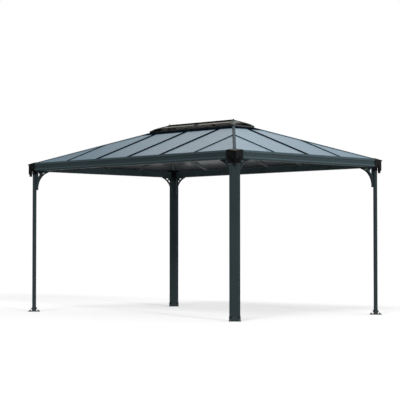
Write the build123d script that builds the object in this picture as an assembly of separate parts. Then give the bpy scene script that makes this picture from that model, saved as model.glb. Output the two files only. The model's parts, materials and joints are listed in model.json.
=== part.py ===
"""Open metal gazebo: four flat posts on the diagonal, gutter beams, a hipped panel roof and a vent cap.

Millimetres. The origin is on the ground at the middle of the plan, +Z is up, the long sides run along X
and the front looks along -Y. Lengths called eave are measured outwards from the line of the ridge.
"""
from build123d import *
import os
from math import atan, cos, sin, sqrt

# Plan and heights of the whole frame
POST_SPAN_X = 4070.0
POST_SPAN_Y = 2770.0
BEAM_UNDERSIDE = 2030.0
ROOF_OVER_BEAM = 113.5
ROOF_RISE_SHARE = 0.367

# Clearance between pieces that seat on each other, and how far cutters run past a piece
SEAT = 0.3
OVERRUN = 40.0

# Posts
POST_WIDTH = 138.0
POST_DEPTH = 47.0
POST_FLAT = 82.0
POST_EDGE_DEPTH = 35.0
POST_WALL = 2.2
POST_GROOVE_WIDTH = 9.0
POST_GROOVE_DEPTH = 4.0

# Feet
PLATE_LENGTH = 160.0
PLATE_WIDTH = 154.0
PLATE_THICKNESS = 6.0
PLATE_CORNER = 10.0
ANCHOR_CIRCLE = 164.0
ANCHOR_RADIUS = 5.5
ANCHOR_COUNT = 4
SOCKET_WALL = 4.0
SOCKET_HEIGHT = 62.0

# Gutter beams, with sizes measured outwards from the line through the post centres
GUTTER_OUTER = 66.0
GUTTER_INNER = 30.0
GUTTER_HEIGHT = 115.0
GUTTER_WALL = 3.0
GUTTER_LIP_HEIGHT = 34.0
GUTTER_BEVEL = 8.0
GUTTER_BEVEL_HEIGHT = 12.0
GUTTER_RECESS = 5.0
GUTTER_BAND_HEIGHT = 37.0
GUTTER_TOP_SET_BACK = 7.0
GUTTER_TOP_SLOPE_HEIGHT = 13.0
GUTTER_STEP_HEIGHT = 5.0

# Corner connectors
CONNECTOR_OUTER = 69.5
CONNECTOR_INNER = 84.0
CONNECTOR_WALL = 3.5
CONNECTOR_FLOOR = 4.0
CONNECTOR_CHAMFER = 28.0
SLEEVE_WALL = 4.0
SLEEVE_HEIGHT = 50.0
WATERWAY_WIDTH = 70.0
WATERWAY_HEIGHT = 45.0

# Water spouts, with sizes along and across the corner's diagonal
SPOUT_LENGTH = 42.0
SPOUT_WIDTH = 34.0
SPOUT_DROP = 80.0
SPOUT_CORNER = 9.0
SPOUT_BORE_LENGTH = 28.0
SPOUT_BORE_WIDTH = 20.0
SPOUT_BORE_CORNER = 5.0
SPOUT_SET_BACK = 1.5
SPOUT_TAPER_DEGREES = 2.5

# Moulded chutes down the connectors' outer corners, with sizes along and across the diagonal
CHUTE_OUT = 86.0
CHUTE_DEPTH = 20.0
CHUTE_WIDTH = 24.0
CHUTE_CORNER = 4.0
CHUTE_DROP = 45.0

# Corner lids, whose tops fall outwards along the diagonal
LID_WALL = 2.5
LID_SKIRT = 18.0
LID_RISE = 16.0
LID_FALL_SHARE = 0.21
LID_INNER = 55.0
LID_CORNER = 14.0

# Arched brackets, with reach measured from the post's centre
BRACKET_REACH = 248.0
BRACKET_DROP = 272.0
BRACKET_THICKNESS = 22.0
BRACKET_FOOT = 61.0
BRACKET_TIP = 11.0
BRACKET_ARC = 250.0
BRACKET_STRIP = 17.0
BRACKET_STRUT = 13.0
BRACKET_STRUT_PLACE = 92.0
BRACKET_STRUT_DEGREES = -50.0

# Roof panels and the bars between them
PANEL_THICKNESS = 6.0
PANEL_OVERHANG = 20.0
BAR_PITCH = 650.0
BAR_CAP_WIDTH = 40.0
JACK_CAP_WIDTH = 17.0
BAR_CAP_HEIGHT = 9.0
BAR_CAP_BEVEL = 4.0
BAR_WEB = 6.0
BAR_DEPTH = 30.0
BAR_FLANGE_WIDTH = 24.0
BAR_FLANGE = 4.0
GLAZING_GAP = 1.0

# Hip rafters
HIP_CAP_WIDTH = 36.0
HIP_CAP_HEIGHT = 9.0
HIP_WEB = 8.0
HIP_DEPTH = 34.0
HIP_FLANGE_WIDTH = 30.0
HIP_FLANGE = 5.0

# Vent curb
CURB_EAVE = 205.0
CURB_INNER = 135.0
CURB_RISE_SHARE = 0.3
CURB_FLANGE = 6.0
CURB_LIP_HEIGHT = 24.0
CURB_WALL_OUTER = 175.0
CURB_WALL = 8.0
CURB_WALL_DROP = 66.0

# Vent cap
CAP_EAVE = 150.0
CAP_RISE_SHARE = 0.39
CAP_SLOT = 10.65
CAP_PANEL = 6.0
CAP_RIB = 5.0
CAP_RIDGE_WIDTH = 36.0
CAP_HIP_WIDTH = 34.0
CAP_BAR_WIDTH = 30.0
CAP_RIM_WIDTH = 14.0
FINIAL_RADIUS = 9.0
FINIAL_HEIGHT = 8.0
STAY_LENGTH = 40.0
STAY_PITCH = 400.0

# Places that follow from the sizes above
HALF_X = POST_SPAN_X / 2
HALF_Y = POST_SPAN_Y / 2
RIDGE_HALF = HALF_X - HALF_Y
ROOF_AT_POSTS = BEAM_UNDERSIDE + ROOF_OVER_BEAM
TALL = 2 * ROOF_AT_POSTS
SLOPE = atan(ROOF_RISE_SHARE)
HIP_RISE_SHARE = ROOF_RISE_SHARE / sqrt(2)
HIP_SLOPE = atan(HIP_RISE_SHARE)
BAR_DROP = (PANEL_THICKNESS + BAR_DEPTH) / cos(SLOPE)
HIP_DROP = HIP_DEPTH / cos(HIP_SLOPE)
GUTTER_INNER_TOP = ROOF_AT_POSTS + ROOF_RISE_SHARE * (GUTTER_INNER - GUTTER_WALL) - BAR_DROP - SEAT
CORNER_CUT = (LID_INNER + SEAT) * sqrt(2)
HIP_SEAT_BACK = (CONNECTOR_INNER - CONNECTOR_WALL) * sqrt(2) - HIP_FLANGE_WIDTH / 2
CONNECTOR_TOP = ROOF_AT_POSTS + HIP_RISE_SHARE * HIP_SEAT_BACK - HIP_DROP - SEAT
SPOUT_OUT = CONNECTOR_OUTER * sqrt(2) - CONNECTOR_CHAMFER / sqrt(2) - SPOUT_SET_BACK
CURB_LIP_BOTTOM = ROOF_AT_POSTS + ROOF_RISE_SHARE * (HALF_Y - CURB_EAVE) + SEAT
CURB_EDGE_Z = CURB_LIP_BOTTOM + CURB_LIP_HEIGHT
CURB_RIDGE_Z = CURB_EDGE_Z + CURB_RISE_SHARE * CURB_EAVE
CAP_UNDER_Z = CURB_RIDGE_Z - CURB_RISE_SHARE * CAP_EAVE + CAP_SLOT
CAP_EDGE_Z = CAP_UNDER_Z + CAP_PANEL

CORNERS = {
    "back_right": (),
    "back_left": (Plane.YZ,),
    "front_right": (Plane.XZ,),
    "front_left": (Plane.YZ, Plane.XZ),
}
# Each side's frame: X along the eave, Y inwards, with its origin under the line through the post centres
SIDES = {
    "front": (Plane((0, -HALF_Y, 0), x_dir=(1, 0, 0)), HALF_X),
    "right": (Plane((HALF_X, 0, 0), x_dir=(0, 1, 0)), HALF_Y),
    "back": (Plane((0, HALF_Y, 0), x_dir=(-1, 0, 0)), HALF_X),
    "left": (Plane((-HALF_X, 0, 0), x_dir=(0, -1, 0)), HALF_Y),
}
# The back right corner's frames: diagonal with X outwards, and square with X and Y both outwards
DIAGONAL = Plane((HALF_X, HALF_Y, 0), x_dir=(1, 1, 0)).location
SQUARE = Plane((HALF_X, HALF_Y, 0)).location


def outline(*points):
    """Returns a flat face with straight edges through the points as they are given."""
    return Polygon(*points, align=None)


def mirrored(half):
    """Returns a symmetric face from the points of its half, given from the bottom up at positive X."""
    return outline(*half, *[(-x, y) for x, y in reversed(half)])


def prism(face, low, high):
    """Returns a face of the XY plane raised between two heights."""
    return extrude(Pos(0, 0, low) * face, high - low)


def ridge_rectangle(eave):
    """Returns the plan rectangle whose edges lie one eave length from the ridge line."""
    return Rectangle(2 * (RIDGE_HALF + eave), 2 * eave)


def post_section():
    """Returns the post's outer section: broad faces across X, bevelled edges, a groove inside."""
    flat, half, deep, edge = POST_FLAT / 2, POST_WIDTH / 2, POST_DEPTH / 2, POST_EDGE_DEPTH / 2
    body = mirrored([(flat, -deep), (half, -edge), (half, edge), (flat, deep)])
    groove = Pos(0, deep) * Rectangle(POST_GROOVE_WIDTH, 2 * POST_GROOVE_DEPTH)
    return Rot(0, 0, 90) * (body - groove)


def post_bounds(clearance):
    """Returns the post's section without its groove, grown by a clearance."""
    flat, half, deep, edge = POST_FLAT / 2, POST_WIDTH / 2, POST_DEPTH / 2, POST_EDGE_DEPTH / 2
    body = mirrored([(flat, -deep), (half, -edge), (half, edge), (flat, deep)])
    return Rot(0, 0, 90) * offset(body, clearance, kind=Kind.INTERSECTION)


def post():
    """Returns one hollow post, standing on the foot's plate and ending under the connector's floor."""
    section = post_section()
    tube = section - offset(section, -POST_WALL, kind=Kind.INTERSECTION)
    return DIAGONAL * prism(tube, PLATE_THICKNESS, BEAM_UNDERSIDE)


def foot():
    """Returns one foot: a base plate with anchor holes on a circle, and the post's socket."""
    plate = RectangleRounded(PLATE_LENGTH, PLATE_WIDTH, PLATE_CORNER)
    holes = PolarLocations(ANCHOR_CIRCLE / 2, ANCHOR_COUNT, start_angle=180 / ANCHOR_COUNT)
    plate -= holes * Circle(ANCHOR_RADIUS)
    socket = post_bounds(SEAT + SOCKET_WALL) - post_bounds(SEAT)
    return DIAGONAL * (prism(plate, 0, PLATE_THICKNESS) + prism(socket, 0, SOCKET_HEIGHT))


def bracket():
    """Returns the bracket along the long side: an arched web with two openings, mitred to the post."""
    top, low = BEAM_UNDERSIDE, BEAM_UNDERSIDE - BRACKET_DROP
    foot_end, tip_end = (BRACKET_FOOT, low), (BRACKET_REACH, top - BRACKET_TIP)
    edges = Polyline(foot_end, (0, low), (0, top), (BRACKET_REACH, top), tip_end)
    edges += RadiusArc(tip_end, foot_end, -BRACKET_ARC)
    web = make_face(edges)
    post_side = POST_DEPTH / sqrt(2) + BRACKET_THICKNESS / 2
    inside = Pos(post_side, 0) * web & web
    strut_turn = Rot(0, 0, BRACKET_STRUT_DEGREES)
    strut = Pos(BRACKET_STRUT_PLACE, top) * strut_turn * Rectangle(2 * BRACKET_REACH, BRACKET_STRUT)
    web -= offset(inside, -BRACKET_STRIP, kind=Kind.INTERSECTION) - strut
    upright = Plane((0, 0, 0), x_dir=(-1, 0, 0), z_dir=(0, 1, 0))
    plate = SQUARE * extrude(upright * web, BRACKET_THICKNESS / 2, both=True)
    plate -= DIAGONAL * prism(post_bounds(SEAT), 0, TALL)
    sleeve = post_bounds(SEAT + SLEEVE_WALL + SEAT)
    plate -= DIAGONAL * prism(sleeve, BEAM_UNDERSIDE - SLEEVE_HEIGHT - SEAT, TALL)
    return plate.solids().sort_by(SortBy.VOLUME)[-1]


def gutter(half_span):
    """Returns one gutter beam between two connectors, in its side's frame."""
    low, top = BEAM_UNDERSIDE, BEAM_UNDERSIDE + GUTTER_HEIGHT
    out, recess = GUTTER_OUTER, GUTTER_OUTER - GUTTER_RECESS
    lip_top, band_low = low + GUTTER_LIP_HEIGHT, top - GUTTER_BAND_HEIGHT
    rim = GUTTER_OUTER - GUTTER_TOP_SET_BACK
    face_inside = recess - GUTTER_WALL
    section = outline(
        (-GUTTER_INNER, low), (out - GUTTER_BEVEL, low), (out, low + GUTTER_BEVEL_HEIGHT),
        (out, lip_top - GUTTER_STEP_HEIGHT), (recess, lip_top),
        (recess, band_low), (out, band_low + GUTTER_STEP_HEIGHT), (out, top - GUTTER_TOP_SLOPE_HEIGHT),
        (rim, top), (face_inside, top), (face_inside, low + GUTTER_WALL),
        (GUTTER_WALL - GUTTER_INNER, low + GUTTER_WALL),
        (GUTTER_WALL - GUTTER_INNER, GUTTER_INNER_TOP), (-GUTTER_INNER, GUTTER_INNER_TOP),
    )
    across = Plane((0, 0, 0), x_dir=(0, -1, 0), z_dir=(-1, 0, 0))
    return extrude(across * section, half_span - CONNECTOR_INNER - SEAT, both=True)


def corner_square(inner, outer):
    """Returns the plan of a corner piece in the square frame, between its inner and its outer sides."""
    middle = (outer - inner) / 2
    return Pos(middle, middle) * Rectangle(inner + outer, inner + outer)


def outermost(square):
    """Returns the vertex of a corner plan that lies furthest out along the diagonal."""
    return square.vertices().group_by(Axis((0, 0, 0), (1, 1, 0)))[-1]


def under_lid(drop):
    """Returns the space under the corner lid's sloping top in the square frame, lowered by a drop."""
    reach = 2 * CONNECTOR_INNER
    middle, fall = CONNECTOR_TOP + SEAT + LID_RISE - drop, LID_FALL_SHARE * reach
    side = outline((-reach, 0), (reach, 0), (reach, middle - fall), (-reach, middle + fall))
    return Rot(0, 0, 45) * extrude(Plane.XZ * side, reach, both=True)


def connector():
    """Returns one corner connector: an open box with waterways, a chute, a post sleeve and a spout."""
    low, high, floor = BEAM_UNDERSIDE, CONNECTOR_TOP, BEAM_UNDERSIDE + CONNECTOR_FLOOR
    side = CONNECTOR_OUTER + CONNECTOR_INNER
    square = chamfer(outermost(corner_square(CONNECTOR_INNER, CONNECTOR_OUTER)), CONNECTOR_CHAMFER)
    chute = Pos(CHUTE_OUT - CHUTE_DEPTH / 2, 0) * RectangleRounded(CHUTE_DEPTH, CHUTE_WIDTH, CHUTE_CORNER)
    box = prism(square, low, high) + Rot(0, 0, 45) * prism(chute, low - CHUTE_DROP, high)
    box &= under_lid(LID_WALL + SEAT)
    box -= prism(offset(square, -CONNECTOR_WALL), floor, high + OVERRUN)
    way = Box(2 * CONNECTOR_WALL + side, WATERWAY_WIDTH, WATERWAY_HEIGHT)
    way_middle = (GUTTER_OUTER - GUTTER_RECESS - GUTTER_INNER) / 2
    way = Pos(-side / 2 - CONNECTOR_WALL, way_middle, floor + WATERWAY_HEIGHT / 2) * way
    box -= way
    box -= mirror(way, Plane((0, 0, 0), z_dir=(1, -1, 0)))
    sleeve = post_bounds(SEAT + SLEEVE_WALL) - post_bounds(SEAT)
    spout_middle = SPOUT_OUT - SPOUT_LENGTH / 2
    mouth = Plane((spout_middle, 0, low), z_dir=(0, 0, -1))
    spout = extrude(mouth * RectangleRounded(SPOUT_LENGTH, SPOUT_WIDTH, SPOUT_CORNER), SPOUT_DROP,
                    taper=SPOUT_TAPER_DEGREES)
    bore = Pos(spout_middle, 0) * RectangleRounded(SPOUT_BORE_LENGTH, SPOUT_BORE_WIDTH, SPOUT_BORE_CORNER)
    below = prism(sleeve, low - SLEEVE_HEIGHT, low) + spout
    whole = SQUARE * box + DIAGONAL * below
    return whole - DIAGONAL * prism(bore, low - SPOUT_DROP - OVERRUN, floor + OVERRUN)


def lid_plan(half):
    """Returns the lid's plan in the square frame, cut across the diagonal where the hip rafter starts."""
    square = fillet(outermost(corner_square(half, half)), LID_CORNER)
    inner = Rot(0, 0, 45) * Pos(half - LID_INNER, 0) * Rectangle(2 * half, 4 * half)
    return square & inner


def lid():
    """Returns one corner lid: a plate that falls outwards, with a skirt over the connector's outer walls."""
    half = CONNECTOR_OUTER + SEAT + LID_WALL
    seat = CONNECTOR_TOP + SEAT
    body = prism(lid_plan(half), seat - LID_SKIRT, TALL) & under_lid(0)
    pocket = fillet(outermost(corner_square(CONNECTOR_INNER, half - LID_WALL)), LID_CORNER - LID_WALL)
    return SQUARE * (body - (prism(pocket, seat - LID_SKIRT - OVERRUN, seat) & under_lid(LID_WALL)))


def slope_plane(height, rise_share):
    """Returns the plane on top of a slope in its side's frame: X along the eave, Y up the slope."""
    angle = atan(rise_share)
    return Plane((0, 0, height), x_dir=(1, 0, 0), z_dir=(0, -sin(angle), cos(angle)))


def slope_plan(half_span, inset, low, top, corner_cut, stretch):
    """Returns a slope's outline between the hips, with its corners cut where the lids stand.

    inset is kept clear of each hip along the eave, and stretch turns plan runs into lengths up the slope.
    """
    knee = (corner_cut - inset) / 2
    half = [
        (half_span - corner_cut + low, low * stretch),
        (half_span - corner_cut + knee, knee * stretch),
        (half_span - top - inset, top * stretch),
    ]
    return mirrored(half)


def bar_places(half_span):
    """Returns the places of the bars along one eave, an even pitch apart and a pitch from the corners."""
    count = int(half_span / BAR_PITCH) - 1
    return [index * BAR_PITCH for index in range(-count, count + 1)]


def panels(half_span):
    """Returns the roof panels of one slope, each between two bars or between a bar and a hip."""
    lean = PANEL_THICKNESS * sin(SLOPE)
    inset = (HIP_WEB / 2 + GLAZING_GAP + lean) * sqrt(2)
    top = HALF_Y - CURB_WALL_OUTER - GLAZING_GAP - lean
    whole = slope_plan(half_span, inset, -PANEL_OVERHANG, top, CORNER_CUT, 1 / cos(SLOPE))
    edges = [-half_span, *bar_places(half_span), half_span]
    sheets = []
    for left, right in zip(edges, edges[1:]):
        strip = Rectangle(right - left - BAR_WEB - 2 * GLAZING_GAP, 2 * POST_SPAN_X)
        sheet = slope_plane(ROOF_AT_POSTS, ROOF_RISE_SHARE) * (whole & Pos((left + right) / 2, 0) * strip)
        sheets.append(extrude(sheet, -PANEL_THICKNESS))
    return Compound(children=sheets)


def bar_section(cap_width):
    """Returns a bar's section: a bevelled cap over the panels, a web between them and a flange below."""
    cap, web, flange = cap_width / 2, BAR_WEB / 2, BAR_FLANGE_WIDTH / 2
    bottom = -PANEL_THICKNESS - BAR_DEPTH
    return mirrored([
        (flange, bottom), (flange, bottom + BAR_FLANGE), (web, bottom + BAR_FLANGE), (web, SEAT),
        (cap, SEAT), (cap, BAR_CAP_HEIGHT - BAR_CAP_BEVEL), (cap - BAR_CAP_BEVEL, BAR_CAP_HEIGHT),
    ])


def curb_clearance():
    """Returns the space that the vent curb takes from the bars and hips that end on it."""
    wall = prism(ridge_rectangle(CURB_WALL_OUTER + SEAT), 0, TALL)
    return wall + prism(ridge_rectangle(CURB_EAVE + SEAT), CURB_LIP_BOTTOM - SEAT, TALL)


def bars(frame, half_span):
    """Returns the bars of one slope: full bars up to the vent curb, and jack bars that end on the hips."""
    inset = (HIP_CAP_WIDTH / 2 + SEAT) * sqrt(2)
    reach = prism(slope_plan(half_span, inset, -PANEL_OVERHANG, HALF_Y - inset, CORNER_CUT, 1), 0, TALL)
    space = frame.location * reach - curb_clearance()
    start = -2 * PANEL_OVERHANG
    rafters = []
    for place in bar_places(half_span):
        jack = half_span - abs(place) < HALF_Y - CURB_EAVE
        origin = (place, start, ROOF_AT_POSTS + start * ROOF_RISE_SHARE)
        across = Plane(origin, x_dir=(-1, 0, 0), z_dir=(0, cos(SLOPE), sin(SLOPE)))
        section = bar_section(JACK_CAP_WIDTH if jack else BAR_CAP_WIDTH)
        rafters.append(frame.location * extrude(across * section, POST_SPAN_Y) & space)
    return Compound(children=rafters)


def hip():
    """Returns one hip rafter: a cover folded over both slopes, a web between the panels and a flange."""
    cap, web, flange = HIP_CAP_WIDTH / 2, HIP_WEB / 2, HIP_FLANGE_WIDTH / 2
    fold = sin(HIP_SLOPE)
    section = mirrored([
        (flange, -HIP_DEPTH), (flange, HIP_FLANGE - HIP_DEPTH), (web, HIP_FLANGE - HIP_DEPTH),
        (web, SEAT - fold * web), (cap, SEAT - fold * cap), (cap, HIP_CAP_HEIGHT - fold * cap),
        (0, HIP_CAP_HEIGHT),
    ])
    across = Plane((0, 0, ROOF_AT_POSTS), x_dir=(0, -1, 0), z_dir=(-cos(HIP_SLOPE), 0, sin(HIP_SLOPE)))
    rafter = extrude(across * section, HALF_Y * sqrt(2) / cos(HIP_SLOPE))
    outside = Rectangle(POST_SPAN_X, POST_SPAN_X, align=(Align.MIN, Align.CENTER))
    rafter -= prism(Pos(-LID_INNER - SEAT, 0) * outside, 0, TALL)
    return DIAGONAL * rafter - curb_clearance()


def hip_solid(eave, eave_height, ridge_height):
    """Returns a solid hipped roof over the ridge rectangle, with its ridge at a height."""
    end = outline((-eave, eave_height), (eave, eave_height), (0, ridge_height))
    long = RIDGE_HALF + eave
    side = outline((-long, eave_height), (long, eave_height), (RIDGE_HALF, ridge_height),
                   (-RIDGE_HALF, ridge_height))
    return extrude(Plane.YZ * end, long, both=True) & extrude(Plane.XZ * side, eave, both=True)


def curb_top():
    """Returns the solid under the vent curb's sloped top face."""
    return hip_solid(CURB_EAVE, CURB_EDGE_Z, CURB_RIDGE_Z)


def vent_curb():
    """Returns the vent curb: a sloped flange with a lip on the panels, and a wall down to the bars."""
    inner = CURB_EAVE - CURB_FLANGE
    under = CURB_EDGE_Z + (CURB_RISE_SHARE - 1) * CURB_FLANGE
    shell = curb_top() + prism(ridge_rectangle(CURB_EAVE), CURB_LIP_BOTTOM, CURB_EDGE_Z)
    hollow = hip_solid(inner, under, CURB_RIDGE_Z - CURB_FLANGE) + prism(ridge_rectangle(inner), 0, under)
    roof = hip_solid(CURB_EAVE, CURB_LIP_BOTTOM, CURB_LIP_BOTTOM + ROOF_RISE_SHARE * CURB_EAVE)
    flange = shell - hollow - roof - prism(ridge_rectangle(CURB_INNER), 0, TALL)
    wall_plan = ridge_rectangle(CURB_WALL_OUTER) - ridge_rectangle(CURB_WALL_OUTER - CURB_WALL)
    wall = prism(wall_plan, CURB_EDGE_Z - CURB_WALL_DROP, CURB_EDGE_Z)
    wall += prism(wall_plan, CURB_EDGE_Z, TALL) & curb_top()
    return flange + wall


def cap_hip(lift):
    """Returns the solid under the vent cap's panel faces, lifted by a height."""
    return hip_solid(CAP_EAVE, CAP_EDGE_Z + lift, CAP_EDGE_Z + lift + CAP_RISE_SHARE * CAP_EAVE)


def cap_panels():
    """Returns the vent cap's panels, split at the hips and at the middle bars."""
    shell = cap_hip(0) - cap_hip(-CAP_PANEL)
    gap = 2 * GLAZING_GAP
    cuts = Rectangle(gap, 2 * CAP_EAVE) + Rectangle(2 * RIDGE_HALF, gap) + cap_hip_strips(gap)
    return shell - prism(cuts, 0, 2 * TALL)


def cap_hip_strips(width):
    """Returns four plan strips of one width along the vent cap's hips."""
    length = 2 * CAP_EAVE
    strip = Rot(0, 0, 45) * Pos(length / 2, 0) * Rectangle(length, width)
    one_end = Pos(RIDGE_HALF, 0) * (strip + Rot(0, 0, -90) * strip)
    return one_end + mirror(one_end, Plane.YZ)


def cap_frame():
    """Returns the vent cap's frame: ridge, hips, middle bars and rim in one folded grid, with finials."""
    plan = ridge_rectangle(CAP_EAVE) - ridge_rectangle(CAP_EAVE - CAP_RIM_WIDTH)
    plan += Rectangle(2 * RIDGE_HALF + CAP_RIDGE_WIDTH, CAP_RIDGE_WIDTH)
    plan += Rectangle(CAP_BAR_WIDTH, 2 * CAP_EAVE) + cap_hip_strips(CAP_HIP_WIDTH)
    grid = cap_hip(SEAT + CAP_RIB) & prism(plan, 0, 2 * TALL)
    peak = CAP_EDGE_Z + SEAT + CAP_RIB + CAP_RISE_SHARE * CAP_EAVE
    for end in (-RIDGE_HALF, RIDGE_HALF):
        grid += Pos(end, 0, 0) * prism(Circle(FINIAL_RADIUS), CAP_EDGE_Z + SEAT, peak + FINIAL_HEIGHT)
    return grid - cap_hip(SEAT)


def cap_stays():
    """Returns the blocks that carry the vent cap on the curb, shaped to both slopes."""
    depth = CAP_EAVE - CURB_INNER
    middle = CURB_INNER + depth / 2
    block = prism(Rectangle(STAY_LENGTH, depth), 0, TALL)
    stays = [Pos(place, side * middle, 0) * block for place in (-STAY_PITCH, STAY_PITCH) for side in (-1, 1)]
    stays += [Pos(side * (RIDGE_HALF + middle), 0, 0) * Rot(0, 0, 90) * block for side in (-1, 1)]
    between = cap_hip(-CAP_PANEL) + prism(ridge_rectangle(CAP_EAVE), CURB_EDGE_Z, CAP_UNDER_Z) - curb_top()
    return Compound(children=[stay & between for stay in stays])


def to_corner(shape, mirrors):
    """Returns a back right corner piece mirrored into another corner."""
    for plane in mirrors:
        shape = mirror(shape, plane)
    return shape


def save(name, shape):
    """Writes one named piece."""
    export_step(shape, f"parts/{name}.step")


def main():
    """Builds every piece and writes one file for each."""
    os.makedirs("parts", exist_ok=True)
    long_bracket = bracket()
    swap = Plane((HALF_X, HALF_Y, 0), z_dir=(1, -1, 0))
    corner_pieces = {
        "post": post(), "foot": foot(), "connector": connector(), "lid": lid(), "hip_rafter": hip(),
        "long_bracket": long_bracket, "short_bracket": mirror(long_bracket, swap),
    }
    for corner, mirrors in CORNERS.items():
        for name, shape in corner_pieces.items():
            save(f"{corner}_{name}", to_corner(shape, mirrors))
    for side, (frame, half_span) in SIDES.items():
        save(f"{side}_gutter", frame.location * gutter(half_span))
        save(f"{side}_roof_panels", frame.location * panels(half_span))
        save(f"{side}_glazing_bars", bars(frame, half_span))
    save("vent_curb", vent_curb())
    save("vent_cap_panels", cap_panels())
    save("vent_cap_frame", cap_frame())
    save("vent_cap_stays", cap_stays())


main()
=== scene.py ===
"""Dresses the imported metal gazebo: its coats, roof sheet, seals, fixings, corner lids and studio.

Lengths are metres in the CAD frame: the origin is on the ground at the middle of the plan, +Z is up,
the long sides run along X and the front looks along -Y.
"""

import json
import logging
import math
from dataclasses import dataclass, field
from enum import Enum

import bpy
import numpy as np
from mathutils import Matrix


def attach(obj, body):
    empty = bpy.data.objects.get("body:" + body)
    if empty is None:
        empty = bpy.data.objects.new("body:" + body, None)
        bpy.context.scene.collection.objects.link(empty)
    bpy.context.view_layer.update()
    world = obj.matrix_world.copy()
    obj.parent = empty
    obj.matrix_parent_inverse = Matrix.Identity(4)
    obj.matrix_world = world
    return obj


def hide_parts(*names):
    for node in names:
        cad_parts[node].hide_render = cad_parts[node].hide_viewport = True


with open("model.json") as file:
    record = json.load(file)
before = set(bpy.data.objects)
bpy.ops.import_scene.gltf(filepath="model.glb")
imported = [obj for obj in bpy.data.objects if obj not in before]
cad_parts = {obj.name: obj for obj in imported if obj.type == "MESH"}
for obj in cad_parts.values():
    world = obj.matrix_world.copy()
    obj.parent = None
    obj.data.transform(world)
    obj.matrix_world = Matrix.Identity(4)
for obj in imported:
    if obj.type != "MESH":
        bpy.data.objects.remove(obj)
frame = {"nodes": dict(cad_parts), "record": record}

LOG = logging.getLogger("gazebo")
BODY = "root"
Socket = bpy.types.NodeSocket
Spots = tuple[tuple[float, float, float], ...]
ALONG, INWARDS, UP = np.eye(3)  # the axes of a side's own frame
ENDS = np.array([-1.0, 1.0])  # the signs of the two ends or hands of a piece
ROOT_TWO = math.sqrt(2.0)
COLUMNS = 24  # points round a turned piece
CRISP = 20.0  # degrees past which the edges of cut and folded pieces stay sharp
NEAR_NOUGHT = 1e-6
WHITE = "ffffff"


class Corner(Enum):
    """A corner of the frame, with the signs of its post's X and Y."""

    FRONT_LEFT = (-1, -1)
    FRONT_RIGHT = (1, -1)
    BACK_LEFT = (-1, 1)
    BACK_RIGHT = (1, 1)

    def axes(self) -> np.ndarray:
        """Returns the rows outward, across and up of the corner's frame."""
        outward = np.array([*self.value, 0.0]) / ROOT_TWO
        return np.array([outward, np.cross(UP, outward), UP])


class Side(Enum):
    """A side of the frame, with its directions along the eave and inwards."""

    FRONT = ((1, 0), (0, 1))
    RIGHT = ((0, 1), (-1, 0))
    BACK = ((-1, 0), (0, -1))
    LEFT = ((0, -1), (1, 0))

    def axes(self) -> np.ndarray:
        """Returns the rows along the eave, inwards and up of the side's frame."""
        along, inward = self.value
        return np.array([[*along, 0.0], [*inward, 0.0], UP])

    def is_long(self) -> bool:
        """Returns whether the side is one of the two long ones."""
        return self in (Side.FRONT, Side.BACK)


class FluteRun(Enum):
    """The way that a roof sheet's flutes run, named by the axis they are counted along."""

    COUNTED_ON_X = "X"
    COUNTED_ON_Y = "Y"


@dataclass(frozen=True)
class Layout:
    """The sizes of the CAD frame that the dressing is set against."""

    half_x: float = 2.035
    half_y: float = 1.385
    beam_underside: float = 2.030
    roof_at_posts: float = 2.1435
    rise: float = 0.367
    overhang: float = 0.020
    bar_pitch: float = 0.650
    full_bar_half: float = 0.020
    jack_bar_half: float = 0.0085
    bar_height: float = 0.009
    # the full bars' seal lips are drawn wide: besides the seal, their black stands in for the shade along
    # each bar (painted shade)
    full_lip_and_painted_shade: float = 0.016
    jack_lip: float = 0.006
    hip_clear: float = 0.026
    curb_eave: float = 0.205
    corner_cut: float = 0.0782

    def stretch(self) -> float:
        """Returns a slope's length over its length in plan."""
        return math.hypot(1.0, self.rise)

    def curb_run(self) -> float:
        """Returns the distance in plan from the posts' line to the vent curb."""
        return self.half_y - self.curb_eave

    def corner_place(self, corner: Corner) -> np.ndarray:
        """Returns the point on the ground under a post's centre."""
        return np.array([corner.value[0] * self.half_x, corner.value[1] * self.half_y, 0.0])

    def half_span(self, side: Side) -> float:
        """Returns half the distance between the two posts of a side."""
        return self.half_x if side.is_long() else self.half_y

    def side_place(self, side: Side) -> np.ndarray:
        """Returns the middle of the line between the two posts of a side."""
        depth = self.half_y if side.is_long() else self.half_x
        return -depth * side.axes()[1]

    def bar_places(self, side: Side) -> np.ndarray:
        """Returns the places of the glazing bars along a side's eave."""
        count = int(self.half_span(side) / self.bar_pitch) - 1
        return np.arange(-count, count + 1) * self.bar_pitch

    def is_jack(self, side: Side, place: float) -> bool:
        """Returns whether the bar at a place ends on a hip instead of the vent curb."""
        return self.half_span(side) - abs(place) < self.curb_run()

    def bar_sizes(self, side: Side, place: float) -> tuple[float, float]:
        """Returns half the width of the bar's cap at a place, and the width of the seal lip beside it."""
        jack = self.is_jack(side, place)
        return (self.jack_bar_half, self.jack_lip) if jack else (self.full_bar_half, self.full_lip_and_painted_shade)

    def slope_axes(self) -> np.ndarray:
        """Returns the rows along the eave, up the slope and off the slope, in a side's frame."""
        climb = np.array([0.0, 1.0, self.rise]) / self.stretch()
        return np.array([ALONG, climb, np.cross(ALONG, climb)])


@dataclass
class Surface:
    """A surface as its points and its faces, which are arrays with one row for each face."""

    points: np.ndarray
    faces: list[np.ndarray]

    def stamped(self, axes: np.ndarray, places: np.ndarray) -> "Surface":
        """Copies the surface into several frames: point = local point times the axes, plus the place.

        Args:
            axes: the frames' rows, shaped (copies, 3, 3) or (3, 3).
            places: the frames' origins, shaped (copies, 3) or (3,).

        Returns:
            One surface that holds all the copies.
        """
        places = np.atleast_2d(places)
        axes = np.broadcast_to(axes, (len(places), 3, 3))
        points = np.einsum("pi,kij->kpj", self.points, axes) + places[:, None, :]
        starts = np.arange(len(places))[:, None, None] * len(self.points)
        faces = [(group[None] + starts).reshape(-1, group.shape[1]) for group in self.faces]
        return Surface(points.reshape(-1, 3), faces)


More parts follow.
